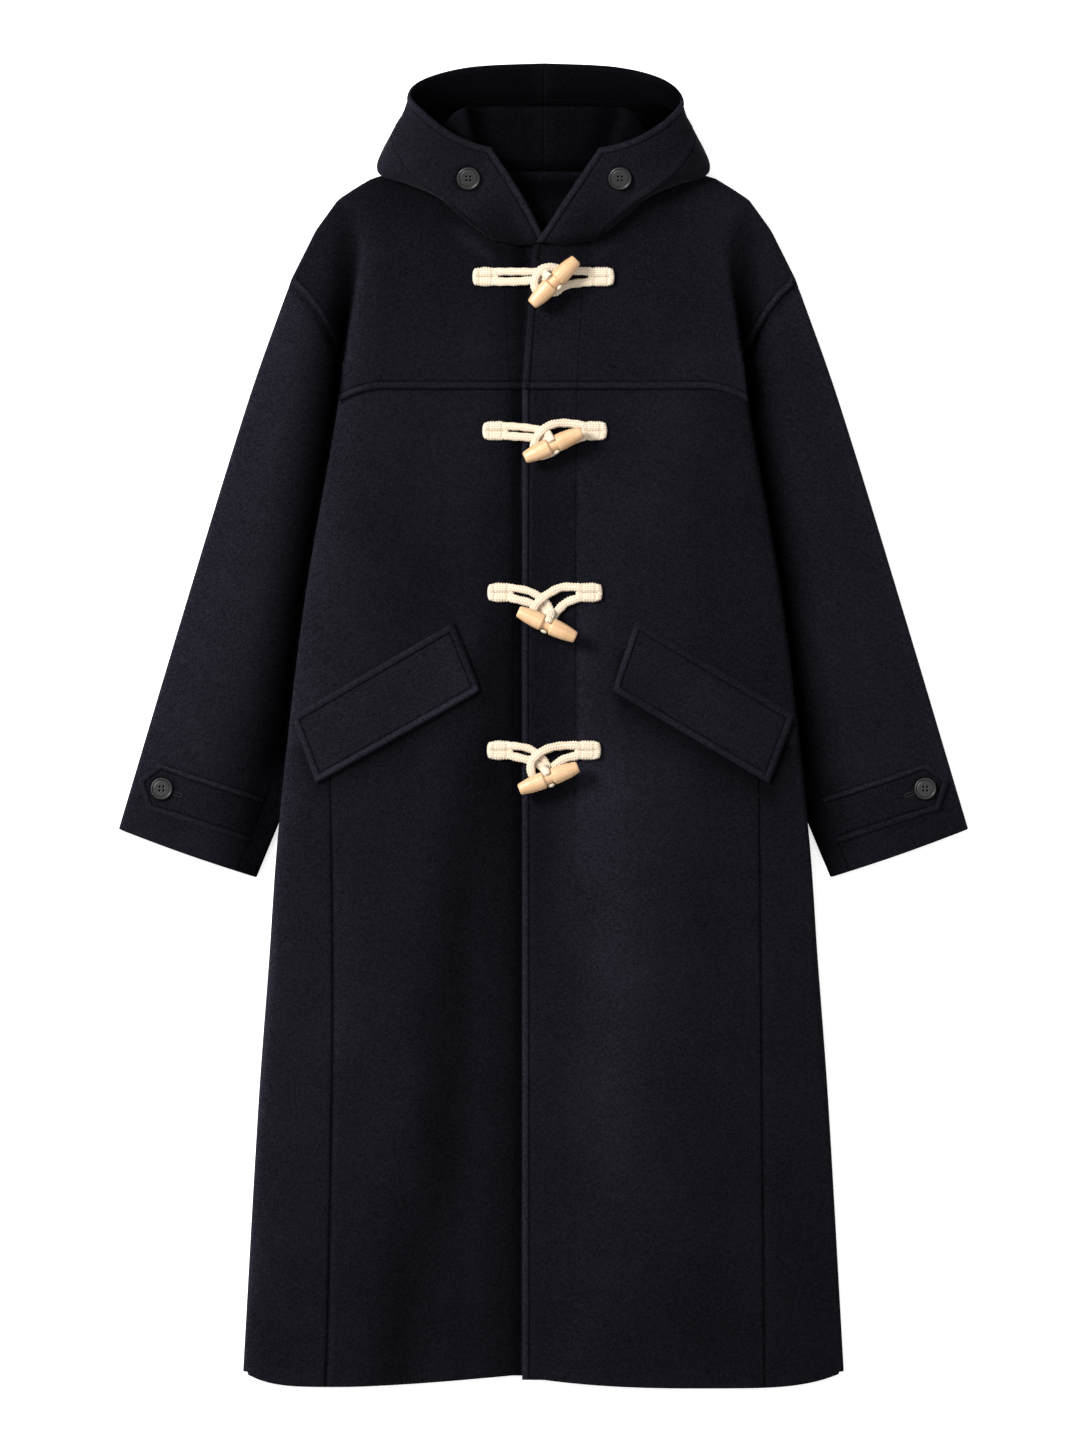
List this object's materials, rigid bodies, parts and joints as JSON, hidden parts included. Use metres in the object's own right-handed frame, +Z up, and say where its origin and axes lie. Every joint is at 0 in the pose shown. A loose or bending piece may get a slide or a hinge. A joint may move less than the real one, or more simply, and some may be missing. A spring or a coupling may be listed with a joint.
{
  "type": "hooded duffle coat",
  "caption": "Long hooded duffle coat of heavy felted wool, laid flat and closed at the front with wooden toggles in cord loops.",
  "frame": {"origin": "on the surface the coat lies on, under the middle of its outline", "axes": "+Z up from that surface, +Y from the hem to the hood, +X to the wearer's left, which is the right-hand side seen from above"},
  "size_m": [0.806, 1.256, 0.0627],
  "materials": {
    "wool": "felted and brushed, matt",
    "wood": "pale, bare and smooth",
    "cotton": "braided cord, matt",
    "button": "moulded, softly polished rim"
  },
  "bodies": {
    "root": {"back": "wool", "cuff_button_left": "button", "cuff_button_right": "button", "cuff_strap_left": "wool", "cuff_strap_right": "wool", "front_left": "wool", "front_right": "wool", "hood_band_left": "wool", "hood_band_right": "wool", "hood_button_left": "button", "hood_button_right": "button", "hood_side_left": "wool", "hood_side_right": "wool", "loop_cord_1": "cotton", "loop_cord_2": "cotton", "loop_cord_3": "cotton", "loop_cord_4": "cotton", "pocket_flap_left": "wool", "pocket_flap_right": "wool", "side_panel_left": "wool", "side_panel_right": "wool", "sleeve_top_left": "wool", "sleeve_top_right": "wool", "sleeve_under_left": "wool", "sleeve_under_right": "wool", "toggle_1": "wood", "toggle_2": "wood", "toggle_3": "wood", "toggle_4": "wood", "toggle_cord_1": "cotton", "toggle_cord_2": "cotton", "toggle_cord_3": "cotton", "toggle_cord_4": "cotton", "yoke_left": "wool", "yoke_right": "wool"}
  },
  "joints": []
}
